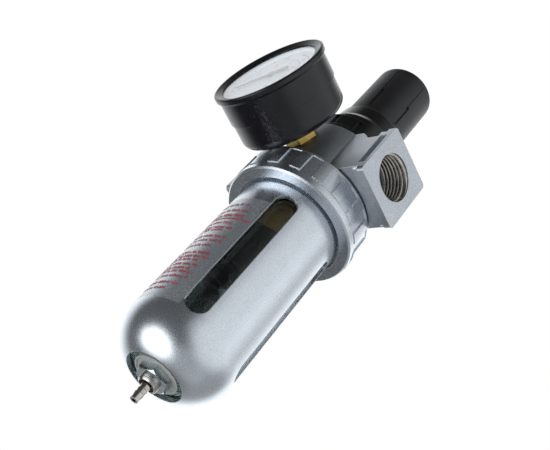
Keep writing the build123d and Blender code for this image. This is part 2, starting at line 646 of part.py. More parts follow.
with BuildPart() as element_bolt:
    with BuildSketch(level(BAFFLE_END)):
        Circle(BOLT_R)
    extrude(amount=BOLT_TOP - BAFFLE_END)
    with BuildSketch(level(BAFFLE_END - BOLT_HEAD)):
        RegularPolygon(BOLT_AF / 2, 6, major_radius=False)
    extrude(amount=BOLT_HEAD)
save(element_bolt, "element_bolt")

# ---------------------------------------------------------------- clamp ring
with BuildPart() as clamp_ring:
    rim = COLLAR_R + RIM_PROUD
    turned(AX, PROF, (COLLAR_BORE, COLLAR_TOP), (rim, COLLAR_TOP), (rim, PAD_TOP + RIM_PROUD),
           (COLLAR_R, PAD_TOP), (COLLAR_R, PAD_LOW), (rim, PAD_LOW - RIM_PROUD), (rim, COLLAR_LOW + 0.7),
           (COLLAR_R - GAP, COLLAR_LOW), (GUARD_R + COLLAR_HOLE_GAP, COLLAR_LOW),
           (GUARD_R + COLLAR_HOLE_GAP, COLLAR_LIP), (COLLAR_BORE, COLLAR_LIP))
    for k in range(PAD_COUNT):
        with BuildSketch(radial(PAD_FIRST + k * 360 / PAD_COUNT - PAD_DEG / 2)):
            Polygon((COLLAR_R - LAP, PAD_TOP), (PAD_R, PAD_TOP), (PAD_R, PAD_LOW),
                    (COLLAR_R - LAP, PAD_LOW), align=None)
        revolve(axis=AX, revolution_arc=PAD_DEG)
save(clamp_ring, "clamp_ring")

# ---------------------------------------------------------------- bowl, guard, label


def dome_arc(rad, end):
    """Start, middle and end of a dome arc about (DOME_C, DOME_Z), from the cylinder down to an end angle."""
    angles = (0, end / 2, end)
    return [(DOME_C + rad * math.cos(a), DOME_Z - rad * math.sin(a)) for a in angles]


with BuildPart() as bowl:
    outer_arc = dome_arc(DOME_BOWL, math.asin((DOME_Z - BOWL_BASE) / DOME_BOWL))
    inner_arc = dome_arc(DOME_INNER, math.asin((DOME_Z - BOWL_FLOOR) / DOME_INNER))
    groove = BOWL_R - RING_GROOVE
    groove_top = RING_Z + RING_GROOVE_W / 2
    groove_low = RING_Z - RING_GROOVE_W / 2
    flange = GUARD_FLANGE_R - FLANGE_STEP
    with BuildSketch(PROF):
        with BuildLine():
            ThreePointArc(*outer_arc)
            Polyline(outer_arc[2], (DRAIN_R, BOWL_BASE), (DRAIN_R, BOWL_FLOOR), inner_arc[2])
            ThreePointArc(*inner_arc[::-1])
            Polyline(inner_arc[0], (inner_arc[0][0], BOWL_TOP), (BOWL_R - LAP, BOWL_TOP),
                     (BOWL_R, BOWL_TOP - LAP), (BOWL_R, groove_top), (groove, groove_top),
                     (groove, groove_low), (BOWL_R, groove_low), (BOWL_R, BOWL_FLANGE_TOP),
                     (flange, BOWL_FLANGE_TOP),
                     (flange, BOWL_FLANGE_LOW), (BOWL_R, BOWL_FLANGE_LOW), outer_arc[0])
        make_face()
    revolve(axis=AX)
save(bowl, "bowl")

with BuildPart() as bowl_guard:
    dome_in = DOME_RAD - GUARD_WALL
    outer_arc = dome_arc(DOME_RAD, math.acos((OPENING_R - DOME_C) / DOME_RAD))
    inner_arc = dome_arc(dome_in, math.acos((OPENING_R - DOME_C) / dome_in))
    with BuildSketch(PROF):
        with BuildLine():
            ThreePointArc(*outer_arc)
            Line(outer_arc[2], inner_arc[2])
            ThreePointArc(*inner_arc[::-1])
            Polyline(inner_arc[0], (inner_arc[0][0], BOWL_FLANGE_LOW), (GUARD_FLANGE_R, BOWL_FLANGE_LOW),
                     (GUARD_FLANGE_R, GUARD_FLANGE_LOW), (GUARD_R, GUARD_FLANGE_LOW), outer_arc[0])
        make_face()
    revolve(axis=AX)
    slot_z = COLLAR_LOW - SLOT_UNDER_RING - SLOT_LENGTH / 2
    for k in range(SLOT_COUNT):
        a = math.radians(SLOT_AZ + k * 360 / SLOT_COUNT - 90)
        outward = (math.cos(a), math.sin(a), 0)
        with BuildSketch(Plane(origin=(REACH, 0, slot_z), x_dir=(0, 0, 1), z_dir=outward)):
            SlotOverall(SLOT_LENGTH, SLOT_W)
        extrude(amount=GUARD_R + LAP, mode=Mode.SUBTRACT)
save(bowl_guard, "bowl_guard")

with BuildPart() as label_film:
    label_top = COLLAR_LOW - LABEL_UNDER_RING
    label_low = label_top - LABEL_LENGTH
    with BuildSketch(radial(-LABEL_ARC / 2)):
        Polygon((GUARD_R, label_top), (GUARD_R + LABEL_T, label_top), (GUARD_R + LABEL_T, label_low),
                (GUARD_R, label_low), align=None)
    revolve(axis=AX, revolution_arc=LABEL_ARC)
save(label_film, "label_film")

with BuildPart() as bowl_o_ring:
    with BuildSketch(PROF):
        with Locations((BOWL_R - RING_GROOVE + RING_WIRE, RING_Z)):
            Circle(RING_WIRE)
    revolve(axis=AX)
save(bowl_o_ring, "bowl_o_ring")

# ---------------------------------------------------------------- drain
SHOULDER_Z = BOWL_FLOOR + SPRING_POCKET
SEAL_SEAT = BUSH_TOP + RUN
HEAD_LOW = SEAL_SEAT + SEAL_T
COLLAR_Z = SHOULDER_Z - DRAIN_TRAVEL - SPRING_ROOM
BUSH_BORE = DRAIN_R - DRAIN_WALL
TUBE_TOP_R = TUBE_R - 0.1

with BuildPart() as drain_body:
    tube_hole = TUBE_R + RUN
    turned(AX, PROF, (tube_hole, BUSH_TOP), (DRAIN_R, BUSH_TOP), (DRAIN_R, BUSH_TOP - DRAIN_BOSS_T),
           (DRAIN_FLANGE_R, BUSH_TOP - DRAIN_BOSS_T), (DRAIN_FLANGE_R, FLANGE_SEAT), (DRAIN_R, FLANGE_SEAT),
           (DRAIN_R, DRAIN_END + LAP), (DRAIN_R - LAP, DRAIN_END), (BUSH_BORE, DRAIN_END),
           (BUSH_BORE, SHOULDER_Z), (tube_hole, SHOULDER_Z))
save(drain_body, "drain_body")

with BuildPart() as drain_gasket:
    with BuildSketch(level(BOWL_FLOOR)):
        Circle(DRAIN_FLANGE_R - GAP)
        Circle(DRAIN_R, mode=Mode.SUBTRACT)
    extrude(amount=GASKET_T)
save(drain_gasket, "drain_gasket")

with BuildPart() as drain_washer:
    washer_low = BOWL_BASE - WASHER_T
    turned(AX, PROF, (DRAIN_R, BOWL_BASE), (WASHER_R, BOWL_BASE), (WASHER_R, washer_low),
           (WASHER_R - WASHER_LIP, washer_low), (WASHER_R - WASHER_LIP - WASHER_DISH, NUT_TOP),
           (DRAIN_R, NUT_TOP))
save(drain_washer, "drain_washer")

with BuildPart() as drain_nut:
    nut_low = NUT_TOP - DRAIN_NUT_T
    nut_corner = DRAIN_NUT_AF / 2 / math.cos(math.pi / 6)
    with BuildSketch(level(nut_low)):
        RegularPolygon(DRAIN_NUT_AF / 2, 6, major_radius=False, rotation=DRAIN_NUT_TURN)
        Circle(DRAIN_R, mode=Mode.SUBTRACT)
    extrude(amount=DRAIN_NUT_T)
    # corners turned off on the outer face
    turned(AX, PROF, (0, NUT_TOP + LAP), (nut_corner + LAP, NUT_TOP + LAP),
           (nut_corner + LAP, nut_low + NUT_BEVEL), (DRAIN_NUT_AF / 2, nut_low), (0, nut_low),
           mode=Mode.INTERSECT)
save(drain_nut, "drain_nut")

with BuildPart() as drain_stem:
    barb_in = TUBE_R - BARB_DEPTH
    collar_r = BUSH_BORE - 0.2
    collar_low = COLLAR_Z - STEM_COLLAR_T
    barbs = [(barb_in, DRAIN_END)]
    for k in range(BARBS):
        barb_z = DRAIN_END - k * BARB_PITCH
        barbs += [(TUBE_R + RUN, barb_z - BARB_RISE), (barb_in, barb_z - BARB_PITCH)]
    turned(AX, PROF, (0, HEAD_LOW + HEAD_T), (HEAD_R, HEAD_LOW + HEAD_T), (HEAD_R, HEAD_LOW),
           (TUBE_TOP_R, HEAD_LOW), (TUBE_TOP_R, COLLAR_Z), (collar_r, COLLAR_Z), (collar_r, collar_low),
           (barb_in, collar_low), *barbs, (barb_in, STEM_TIP), (TUBE_BORE, STEM_TIP),
           (TUBE_BORE, SHOULDER_Z), (0, SHOULDER_Z))
    # cross hole that lets water into the tube when the stem is pushed up
    with Locations((REACH, 0, SHOULDER_Z + LAP)):
        Cylinder(CROSS_HOLE_R, 2 * DRAIN_R, rotation=(90, 0, 0), mode=Mode.SUBTRACT)
save(drain_stem, "drain_stem")

with BuildPart() as drain_seal:
    with BuildSketch(level(SEAL_SEAT)):
        Circle(HEAD_R - 0.1)
        Circle(TUBE_TOP_R, mode=Mode.SUBTRACT)
    extrude(amount=SEAL_T)
save(drain_seal, "drain_seal")

with BuildPart() as drain_spring:
    coil(BUSH_BORE - 0.35 - DRAIN_WIRE, DRAIN_WIRE, COLLAR_Z, SHOULDER_Z, DRAIN_TURNS)
save(drain_spring, "drain_spring")

# ---------------------------------------------------------------- gauge
SOCKET_END = CASE_BACK - CASE_WALL - 2.0
FRONT_PLATE = SOCKET_END - 9.2

with BuildPart() as gauge_socket:
    thread_end = SOCKET_HEX + SOCKET_THREAD
    thread_tip = GAUGE_PORT_R - 0.6
    turned(GAX, GPROF, (SOCKET_BORE, thread_end), (thread_tip, thread_end),
           (GAUGE_PORT_R, thread_end - 0.6), (GAUGE_PORT_R, SOCKET_HEX), (SOCKET_BORE, SOCKET_HEX))
    with BuildSketch(facing(SOCKET_HEX)):
        RegularPolygon(SOCKET_AF / 2, 6, major_radius=False)
        Circle(SOCKET_BORE, mode=Mode.SUBTRACT)
    extrude(amount=SOCKET_HEX - HUB_BACK)
    with BuildSketch(facing(HUB_BACK)):
        Circle(SOCKET_R)
        Circle(SOCKET_BORE, mode=Mode.SUBTRACT)
    extrude(amount=HUB_BACK - SOCKET_END)
save(gauge_socket, "gauge_socket")

with BuildPart() as gauge_case:
    round_r = CASE_R - CASE_ROUND
    round_y = CASE_BACK - CASE_ROUND
    inner_back = CASE_BACK - CASE_WALL
    diagonal = CASE_ROUND * math.sin(math.pi / 4)
    with BuildSketch(GPROF):
        with BuildLine():
            Polyline((SOCKET_R, HUB_BACK), (HUB_TOP_R, HUB_BACK), (HUB_FOOT_R, CASE_BACK),
                     (round_r, CASE_BACK))
            ThreePointArc((round_r, CASE_BACK), (round_r + diagonal, round_y + diagonal), (CASE_R, round_y))
            Polyline((CASE_R, round_y), (CASE_R, CASE_STEP), (BEZEL_SEAT_R, CASE_STEP),
                     (BEZEL_SEAT_R, LENS_BACK), (CASE_BORE, LENS_BACK), (CASE_BORE, round_y - CASE_WALL),
                     (round_r - CASE_WALL, inner_back), (SOCKET_R, inner_back), (SOCKET_R, HUB_BACK))
        make_face()
    revolve(axis=GAX)
save(gauge_case, "gauge_case")

with BuildPart() as gauge_bezel:
    lip_back = BEZEL_BACK - LIP_FLARE
    rim_r = BEZEL_LIP_R - 2 * LIP_ROUND
    with BuildSketch(GPROF):
        with BuildLine():
            Polyline((BEZEL_SEAT_R, CASE_STEP), (BEZEL_R, CASE_STEP), (BEZEL_R, BEZEL_BACK),
                     (BEZEL_LIP_R, lip_back), (BEZEL_LIP_R, BEZEL_FRONT + LIP_ROUND))
            ThreePointArc((BEZEL_LIP_R, BEZEL_FRONT + LIP_ROUND), (BEZEL_LIP_R - LIP_ROUND, BEZEL_FRONT),
                          (rim_r, BEZEL_FRONT + LIP_ROUND / 4))
            Polyline((rim_r, BEZEL_FRONT + LIP_ROUND / 4), (WINDOW_R, BEZEL_FRONT + LIP_DISH),
                     (WINDOW_R, LENS_FRONT), (BEZEL_SEAT_R, LENS_FRONT), (BEZEL_SEAT_R, CASE_STEP))
        make_face()
    revolve(axis=GAX)
save(gauge_bezel, "gauge_bezel")

with BuildPart() as gauge_lens:
    with BuildSketch(facing(LENS_BACK)):
        Circle(BEZEL_SEAT_R - RUN)
    extrude(amount=LENS_T)
save(gauge_lens, "gauge_lens")

with BuildPart() as gauge_dial:
    turned(GAX, GPROF, (SHAFT_R + LAP, DIAL_Y + DIAL_T), (DIAL_R, DIAL_Y + DIAL_T), (DIAL_R, LENS_BACK + RUN),
           (DIAL_R - DIAL_RIM, LENS_BACK + RUN), (DIAL_R - DIAL_RIM, DIAL_Y), (SHAFT_R + LAP, DIAL_Y))
save(gauge_dial, "gauge_dial")

with BuildPart() as gauge_pointer:
    # blade with a broad tail, turned to the zero mark, on a shaft with its pinion
    zero = math.radians(POINTER_REST)
    across = (math.cos(zero), 0, -math.sin(zero))
    blade = Plane(origin=(REACH, POINTER_Y, GAUGE_Z), z_dir=(0, -1, 0), x_dir=across)
    shaft_end = FRONT_PLATE + MOVEMENT_ROOM
    with BuildSketch(blade):
        Polygon((-BLADE_ROOT, 0), (-BLADE_TIP, POINTER_LEN), (BLADE_TIP, POINTER_LEN), (BLADE_ROOT, 0),
                (BLADE_TAIL, -POINTER_TAIL), (-BLADE_TAIL, -POINTER_TAIL), align=None)
        Circle(POINTER_HUB_R)
    extrude(amount=POINTER_T)
    with BuildSketch(facing(shaft_end)):
        Circle(SHAFT_R)
    extrude(amount=shaft_end - POINTER_Y)
    with BuildSketch(facing(shaft_end - 1.0)):
        Circle(PINION_R)
    extrude(amount=2.0)
save(gauge_pointer, "gauge_pointer")

with BuildPart() as gauge_movement:
    plate_y = -(PIVOT_DROP - 1.0) / 2
    back_plate = FRONT_PLATE + MOVEMENT_ROOM + MOVEMENT_T
    pillar_x = MOVEMENT_W / 2 - 1.7
    pillar_y = MOVEMENT_H / 2 - 2.0
    with BuildSketch(facing(FRONT_PLATE)):
        with Locations((0, plate_y)):
            RectangleRounded(MOVEMENT_W, MOVEMENT_H, 1.5)
        with Locations((0, 0), (0, -PIVOT_DROP)):
            Circle(SHAFT_R + 0.08, mode=Mode.SUBTRACT)
    extrude(amount=MOVEMENT_T)
    with BuildSketch(facing(back_plate)):
        with Locations((0, plate_y)):
            RectangleRounded(MOVEMENT_W, MOVEMENT_H, 1.5)
    extrude(amount=MOVEMENT_T)
    with BuildSketch(facing(FRONT_PLATE + MOVEMENT_ROOM)):
        with Locations((0, plate_y)):
            with GridLocations(2 * pillar_x, 2 * pillar_y, 2, 2):
                Circle(1.2)
    extrude(amount=MOVEMENT_ROOM)
    with BuildSketch(facing(SOCKET_END)):
        Circle(SOCKET_R - 0.6)
    extrude(amount=SOCKET_END - back_plate)
save(gauge_movement, "gauge_movement")

with BuildPart() as gauge_sector:
    sector_r = PIVOT_DROP - PINION_R - MESH_GAP
    swing = [math.radians(90 + deg) for deg in (-6, 15, 36)]
    rim_points = [(sector_r * math.cos(a), sector_r * math.sin(a) - PIVOT_DROP) for a in swing]
    with BuildSketch(facing(FRONT_PLATE + 2.8)):
        with BuildLine():
            ThreePointArc(*rim_points)
            Polyline(rim_points[2], (0, -PIVOT_DROP), rim_points[0])
        make_face()
        with Locations((0, -PIVOT_DROP)):
            Circle(SECTOR_HUB_R)
        Polygon((-1.0, -PIVOT_DROP), (1.0, -PIVOT_DROP), (0.6, -PIVOT_DROP - 6.0),
                (-0.6, -PIVOT_DROP - 6.0), align=None)
    extrude(amount=SECTOR_T)
    with BuildSketch(facing(FRONT_PLATE + 4.8)):
        with Locations((0, -PIVOT_DROP)):
            Circle(SHAFT_R)
    extrude(amount=5.6)
save(gauge_sector, "gauge_sector")

with BuildPart() as bourdon_tube:
    tube_x = REACH + CASE_R - BOURDON_INSIDE
    start = Plane(origin=(tube_x, SOCKET_END - 1.9, GAUGE_Z), x_dir=(1, 0, 0), z_dir=(0, 0, 1))
    with BuildSketch(start):
        Ellipse(TUBE_THICK, TUBE_WIDE)
    revolve(axis=GAX, revolution_arc=BOURDON_ARC)
save(bourdon_tube, "bourdon_tube")

# ---------------------------------------------------------------- plug in the rear gauge port
with BuildPart() as rear_plug:
    plug_length = 8.6
    plug_y = BOSS_R - plug_length - 0.4
    plug_end = Plane(origin=(REACH, plug_y, GAUGE_Z), x_dir=(1, 0, 0), z_dir=(0, 1, 0))
    with BuildSketch(plug_end):
        Circle(GAUGE_PORT_R)
    extrude(amount=plug_length)
    with BuildSketch(plug_end.offset(plug_length / 2)):
        RegularPolygon(2.5, 6, major_radius=False)
    extrude(amount=plug_length, mode=Mode.SUBTRACT)
save(rear_plug, "rear_plug")
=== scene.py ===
import json
import math
import random

import bmesh
import bpy
from mathutils import Matrix, Vector


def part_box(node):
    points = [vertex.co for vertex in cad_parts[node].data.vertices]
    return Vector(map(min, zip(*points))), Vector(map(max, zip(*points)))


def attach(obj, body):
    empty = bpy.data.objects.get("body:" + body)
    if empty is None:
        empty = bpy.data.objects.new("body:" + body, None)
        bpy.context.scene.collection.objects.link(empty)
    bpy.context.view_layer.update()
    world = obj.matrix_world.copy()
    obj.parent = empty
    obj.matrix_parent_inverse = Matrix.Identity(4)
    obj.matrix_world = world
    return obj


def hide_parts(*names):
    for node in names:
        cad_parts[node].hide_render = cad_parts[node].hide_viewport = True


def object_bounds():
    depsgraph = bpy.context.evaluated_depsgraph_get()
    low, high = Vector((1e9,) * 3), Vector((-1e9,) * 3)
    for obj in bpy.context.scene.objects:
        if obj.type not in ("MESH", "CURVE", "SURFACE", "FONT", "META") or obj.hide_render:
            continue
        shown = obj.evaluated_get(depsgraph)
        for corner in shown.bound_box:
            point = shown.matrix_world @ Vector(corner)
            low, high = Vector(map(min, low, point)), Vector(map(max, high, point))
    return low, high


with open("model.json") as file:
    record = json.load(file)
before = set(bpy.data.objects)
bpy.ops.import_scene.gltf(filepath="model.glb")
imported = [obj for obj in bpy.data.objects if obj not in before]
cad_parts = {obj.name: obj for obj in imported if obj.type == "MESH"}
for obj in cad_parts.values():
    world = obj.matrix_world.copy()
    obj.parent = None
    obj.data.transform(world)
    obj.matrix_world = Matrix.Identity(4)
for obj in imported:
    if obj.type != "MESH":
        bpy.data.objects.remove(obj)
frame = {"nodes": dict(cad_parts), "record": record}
cad_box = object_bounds()
nodes = frame["nodes"]
scene = bpy.context.scene
scene.view_settings.view_transform = "Standard"

MM = 0.001

# ---------------------------------------------------------------- camera
CAM_AT = Vector((0.297148, -0.151531, -0.269115))
CAM_RIGHT = Vector((0.72731519, 0.44185522, 0.52514434))
CAM_DOWN = Vector((-0.06855373, 0.80812463, -0.58500852))
CAM_AHEAD = Vector((-0.68287114, 0.38948498, 0.61805214))
camera = bpy.data.objects.new("camera", bpy.data.cameras.new("camera"))
scene.collection.objects.link(camera)
camera.matrix_world = (
    Matrix.Translation(CAM_AT)
    @ Matrix((CAM_RIGHT, -CAM_DOWN, -CAM_AHEAD)).transposed().to_4x4()
)
camera.data.sensor_width = 36.0
camera.data.lens = 57.93
camera.data.clip_start = 0.01
camera.data.clip_end = 20.0
scene.camera = camera


# ---------------------------------------------------------------- light
LAMP_TINT = (0.965, 0.985, 1.0, 1)
EVEN_LIGHT = 0.08
SOFT_BOXES = [
    ((-0.17, -0.50, -0.85), 2.3, 14, 36),
    ((0.92, 0.12, 0.20), 0.78, 25, 60),
    ((-0.74, 0.38, 0.54), 1.20, 28, 68),
    ((0.45, 0.20, -0.85), 0.30, 15, 45),
    ((0.30, 0.70, 0.65), 0.40, 10, 40),
    ((0.10, 0.95, -0.20), 0.25, 20, 60),
]


def studio(base, boxes):
    """A white backdrop, and an even light of strength base with a few soft boxes in it.

    Each box is a direction, its added strength, and the angles in degrees out to which it is
    full and beyond which it is gone.
    """
    world = bpy.data.worlds.new("studio")
    scene.world = world
    world.use_nodes = True
    tree = world.node_tree
    new, link = tree.nodes.new, tree.links.new
    backdrop = tree.nodes["Background"]
    backdrop.inputs["Color"].default_value = (1, 1, 1, 1)
    soft = new("ShaderNodeBackground")
    soft.inputs["Color"].default_value = LAMP_TINT
    view = new("ShaderNodeTexCoord").outputs["Generated"]
    total = None
    for direction, light, full, outer in boxes:
        toward = new("ShaderNodeVectorMath")
        toward.operation = "DOT_PRODUCT"
        link(view, toward.inputs[0])
        toward.inputs[1].default_value = Vector(direction).normalized()
        spot = new("ShaderNodeMapRange")
        spot.interpolation_type = "SMOOTHSTEP"
        link(toward.outputs["Value"], spot.inputs["Value"])
        spot.inputs["From Min"].default_value = math.cos(math.radians(outer))
        spot.inputs["From Max"].default_value = math.cos(math.radians(full))
        spot.inputs["To Min"].default_value = 0.0
        spot.inputs["To Max"].default_value = light
        add = new("ShaderNodeMath")
        add.operation = "ADD"
        link(spot.outputs["Result"], add.inputs[0])
        if total is None:
            add.inputs[1].default_value = base
        else:
            link(total, add.inputs[1])
        total = add.outputs["Value"]
    link(total, soft.inputs["Strength"])
    seen = new("ShaderNodeLightPath")
    mix = new("ShaderNodeMixShader")
    link(seen.outputs["Is Camera Ray"], mix.inputs["Fac"])
    link(soft.outputs["Background"], mix.inputs[1])
    link(backdrop.outputs["Background"], mix.inputs[2])
    link(mix.outputs["Shader"], tree.nodes["World Output"].inputs["Surface"])


studio(EVEN_LIGHT, SOFT_BOXES)


# ---------------------------------------------------------------- materials
SOCKETS = {
    "Color": "Base Color",
    "Coat": "Coat Weight",
    "CoatRoughness": "Coat Roughness",
    "Clear": "Transmission Weight",
}
# most of a noise texture's values lie between these two
NOISE_LOW = 0.3
NOISE_HIGH = 0.7
# cosine between the true and the rounded normal, where an edge counts as worn and painted highlit, and as
# open face
EDGE_TURNED = 0.75
EDGE_OPEN = 0.98


class Look:
    """A node material, with short calls that add the nodes driving its shader. Sizes are in mm."""

    def __init__(self, name):
        self.material = bpy.data.materials.new(name)
        self.material.use_nodes = True
        self.tree = self.material.node_tree
        self.shader = self.tree.nodes["Principled BSDF"]
        self.place = self.tree.nodes.new("ShaderNodeTexCoord").outputs["Object"]

    def put(self, value, socket):
        if isinstance(value, bpy.types.NodeSocket):
            self.tree.links.new(value, socket)
        else:
            socket.default_value = value

    def set(self, **values):
        """Puts each value on the shader's socket of that name, or of that name's full form."""
        for key, value in values.items():
            self.put(value, self.shader.inputs[SOCKETS.get(key, key)])

    def noise(self, size, detail=2.0, stretch=(1, 1, 1)):
        """Noise from 0 to 1 in lumps of this size, longer on the axes whose factor is below 1."""
        mapping = self.tree.nodes.new("ShaderNodeMapping")
        mapping.inputs["Scale"].default_value = [s / (size * MM) for s in stretch]
        self.tree.links.new(self.place, mapping.inputs["Vector"])
        texture = self.tree.nodes.new("ShaderNodeTexNoise")
        texture.inputs["Scale"].default_value = 1.0
        texture.inputs["Detail"].default_value = detail
        self.tree.links.new(mapping.outputs["Vector"], texture.inputs["Vector"])
        return texture.outputs["Fac"]

    def cells(self, size):
        """Distance to the nearest of a scatter of points, from 0 in a cell's middle to about 1."""
        texture = self.tree.nodes.new("ShaderNodeTexVoronoi")
        texture.inputs["Scale"].default_value = 1 / (size * MM)
        self.tree.links.new(self.place, texture.inputs["Vector"])
        return texture.outputs["Distance"]

    def span(self, value, low, high, from_low=NOISE_LOW, from_high=NOISE_HIGH):
        """Maps a value from its own range to low..high, clamped at both ends."""
        node = self.tree.nodes.new("ShaderNodeMapRange")
        self.put(value, node.inputs["Value"])
        node.inputs["From Min"].default_value = from_low
        node.inputs["From Max"].default_value = from_high
        node.inputs["To Min"].default_value = low
        node.inputs["To Max"].default_value = high
        return node.outputs["Result"]

    def mix(self, factor, first, second):
        node = self.tree.nodes.new("ShaderNodeMix")
        node.data_type = "RGBA"
        self.put(factor, node.inputs["Factor"])
        self.put(first, node.inputs["A"])
        self.put(second, node.inputs["B"])
        return node.outputs["Result"]

    def math(self, operation, first, second):
        node = self.tree.nodes.new("ShaderNodeMath")
        node.operation = operation
        self.put(first, node.inputs[0])
        self.put(second, node.inputs[1])
        return node.outputs["Value"]

    def rough(self, value, low, high):
        self.set(Roughness=self.span(value, low, high))

    def bump(self, height, depth, edge=0.0):
        """Relief of this depth, over edges rounded to this radius."""
        node = self.tree.nodes.new("ShaderNodeBump")
        node.inputs["Distance"].default_value = depth * MM
        self.put(height, node.inputs["Height"])
        if edge:
            bevel = self.tree.nodes.new("ShaderNodeBevel")
            bevel.inputs["Radius"].default_value = edge * MM
            self.tree.links.new(bevel.outputs["Normal"], node.inputs["Normal"])
        self.tree.links.new(node.outputs["Normal"], self.shader.inputs["Normal"])

    def worn_and_highlit_edges(self, radius, strength):
        """0 on open faces, up to strength where the surface turns an edge of about this radius: a mask for
        edge wear and a painted edge highlight.
        """
        bevel = self.tree.nodes.new("ShaderNodeBevel")
        bevel.inputs["Radius"].default_value = radius * MM
        flat = self.tree.nodes.new("ShaderNodeNewGeometry")
        along = self.tree.nodes.new("ShaderNodeVectorMath")
        along.operation = "DOT_PRODUCT"
        self.tree.links.new(bevel.outputs["Normal"], along.inputs[0])
        self.tree.links.new(flat.outputs["Normal"], along.inputs[1])
        return self.span(along.outputs["Value"], strength, 0.0, EDGE_TURNED, EDGE_OPEN)

    def lets_lamps_through(self, tint):
        """Keeps the glass, and lets light reach what is behind it."""
        new, link = self.tree.nodes.new, self.tree.links.new
        clear = new("ShaderNodeBsdfTransparent")
        clear.inputs["Color"].default_value = tint
        path = new("ShaderNodeLightPath")
        mix = new("ShaderNodeMixShader")
        link(path.outputs["Is Shadow Ray"], mix.inputs["Fac"])
        link(self.shader.outputs["BSDF"], mix.inputs[1])
        link(clear.outputs["BSDF"], mix.inputs[2])
        link(mix.outputs["Shader"], self.tree.nodes["Material Output"].inputs["Surface"])


def metallic_paint(name, dark, light, rough, grain, edge):
    """Silver paint with flakes of size grain, a faint cloud, and edges lightened by wear and by a painted
    highlight.
    """
    look = Look(name)
    flakes = look.noise(grain, 3.0)
    cloud = look.noise(9.0, 3.0)
    colour = look.mix(look.span(flakes, 0.0, 1.0, 0.36, 0.64), dark, light)
    shade = look.mix(look.span(cloud, 0.0, 0.12), colour, dark)
    # painted highlight and edge wear: the paint is lighter where it turns an edge
    highlit_edge_colour = [min(1.0, 1.35 * c) for c in light]
    colour = look.mix(look.worn_and_highlit_edges(edge, 0.9), shade, highlit_edge_colour)
    look.set(Color=colour, Metallic=0.94, Coat=0.12, CoatRoughness=0.3)
    sparkle = look.span(flakes, -0.035, 0.035)
    look.set(Roughness=look.math("ADD", sparkle, look.span(cloud, rough - 0.02, rough + 0.03)))
    look.bump(look.noise(grain * 0.7, 2.0), 0.010, edge)
    return look.material


def moulded(name, dark, light, rough, grain, depth, edge=0.25):
    """Plastic, rubber or enamel with a fine skin of size grain and this depth."""
    look = Look(name)
    fine = look.noise(grain, 3.0)
    wide = look.noise(7.0, 2.0)
    look.set(Color=look.mix(look.span(wide, 0.0, 1.0), dark, light))
    look.rough(fine, rough * 0.85, rough * 1.2)
    look.bump(fine, depth, edge)
    return look.material


def plated(name, dark, light, rough, stretch=(1, 1, 0.12), depth=0.004):
    """Bare metal with fine marks drawn out along the stretched axes, and patches of tarnish."""
    look = Look(name)
    marks = look.noise(0.5, 4.0, stretch)
    tarnish = look.noise(3.0, 4.0)
    colour = look.mix(look.span(tarnish, 0.0, 1.0), dark, light)
    look.set(Color=look.mix(look.span(marks, 0.0, 0.25), colour, dark), Metallic=1.0)
    look.rough(marks, rough * 0.8, rough * 1.35)
    look.bump(marks, depth, edge=0.15)
    return look.material


def sintered(name):
    """Bronze beads pressed together, with painted shade in the gaps between them."""
    look = Look(name)
    beads = look.cells(0.55)
    fine = look.noise(0.3, 3.0)
    bronze, pore_shade, dusty = (0.45, 0.27, 0.12, 1), (0.11, 0.055, 0.02, 1), (0.55, 0.36, 0.17, 1)
    # painted shade: darker towards each bead's edge, in the pores between beads
    colour = look.mix(look.span(beads, 0.0, 1.0, 0.1, 0.6), bronze, pore_shade)
    look.set(Color=look.mix(look.span(fine, 0.0, 0.5), colour, dusty), Metallic=0.1)
    look.rough(fine, 0.5, 0.75)
    look.bump(look.math("MULTIPLY", beads, -1.0), 0.12)
    return look.material


def clear_bowl(name):
    """Clear plastic, a little wavy and scuffed."""
    look = Look(name)
    waves = look.noise(5.0, 3.0)
    scuffs = look.noise(0.8, 4.0, (1, 1, 0.2))
    tint = look.mix(look.span(waves, 0.0, 1.0), (0.84, 0.93, 0.89, 1), (0.92, 0.97, 0.95, 1))
    look.set(Color=tint, Clear=1.0, IOR=1.38)
    look.rough(scuffs, 0.0, 0.05)
    look.bump(waves, 0.06)
    look.lets_lamps_through((0.80, 0.90, 0.86, 1))
    return look.material


def lens_glass(name):
    """Clear glass with a trace of dust."""
    look = Look(name)
    dust = look.noise(0.6, 4.0)
    look.set(Color=(0.97, 0.985, 1.0, 1), Clear=1.0, IOR=1.45)
    look.rough(dust, 0.0, 0.03)
    look.bump(look.noise(14.0, 1.0), 0.02)
    look.lets_lamps_through((0.97, 0.98, 0.99, 1))
    return look.material


def film(name):
    """Nearly invisible plastic film."""
    look = Look(name)
    ripple = look.noise(3.0, 2.0)
    fibre = look.noise(0.25, 3.0)
    tint = look.mix(look.span(fibre, 0.0, 1.0), (0.60, 0.65, 0.68, 1), (0.75, 0.79, 0.81, 1))
    look.set(Color=tint, Alpha=0.10)
    look.rough(ripple, 0.12, 0.22)
    look.bump(ripple, 0.006)
    return look.material


def printed(name, ink, weak):
    """Ink that is weak in small patches."""
    look = Look(name)
    patchy = look.noise(0.5, 3.0)
    look.set(Color=look.mix(look.span(patchy, 0.0, 0.7), ink, weak))
    look.rough(patchy, 0.35, 0.55)
    look.bump(patchy, 0.003)
    return look.material


def dial_card(name):
    """White enamel, faintly mottled."""
    look = Look(name)
    mottle = look.noise(5.0, 3.0)
    white = look.mix(look.span(mottle, 0.0, 1.0), (0.80, 0.85, 0.93, 1), (0.87, 0.90, 0.95, 1))
    look.set(Color=white)
    look.rough(look.noise(0.3, 3.0), 0.32, 0.45)
    look.bump(look.noise(0.25, 2.0), 0.003)
    return look.material


def pale_floor(name):
    """Matt off-white sheet with a wide, faint haze."""
    look = Look(name)
    haze = look.noise(180.0, 3.0)
    pale = look.mix(look.span(haze, 0.0, 1.0), (0.86, 0.86, 0.87, 1), (0.90, 0.90, 0.90, 1))
    look.set(Color=pale)
    look.rough(look.noise(4.0, 3.0), 0.6, 0.75)
    look.bump(look.noise(2.0, 3.0), 0.05)
    return look.material


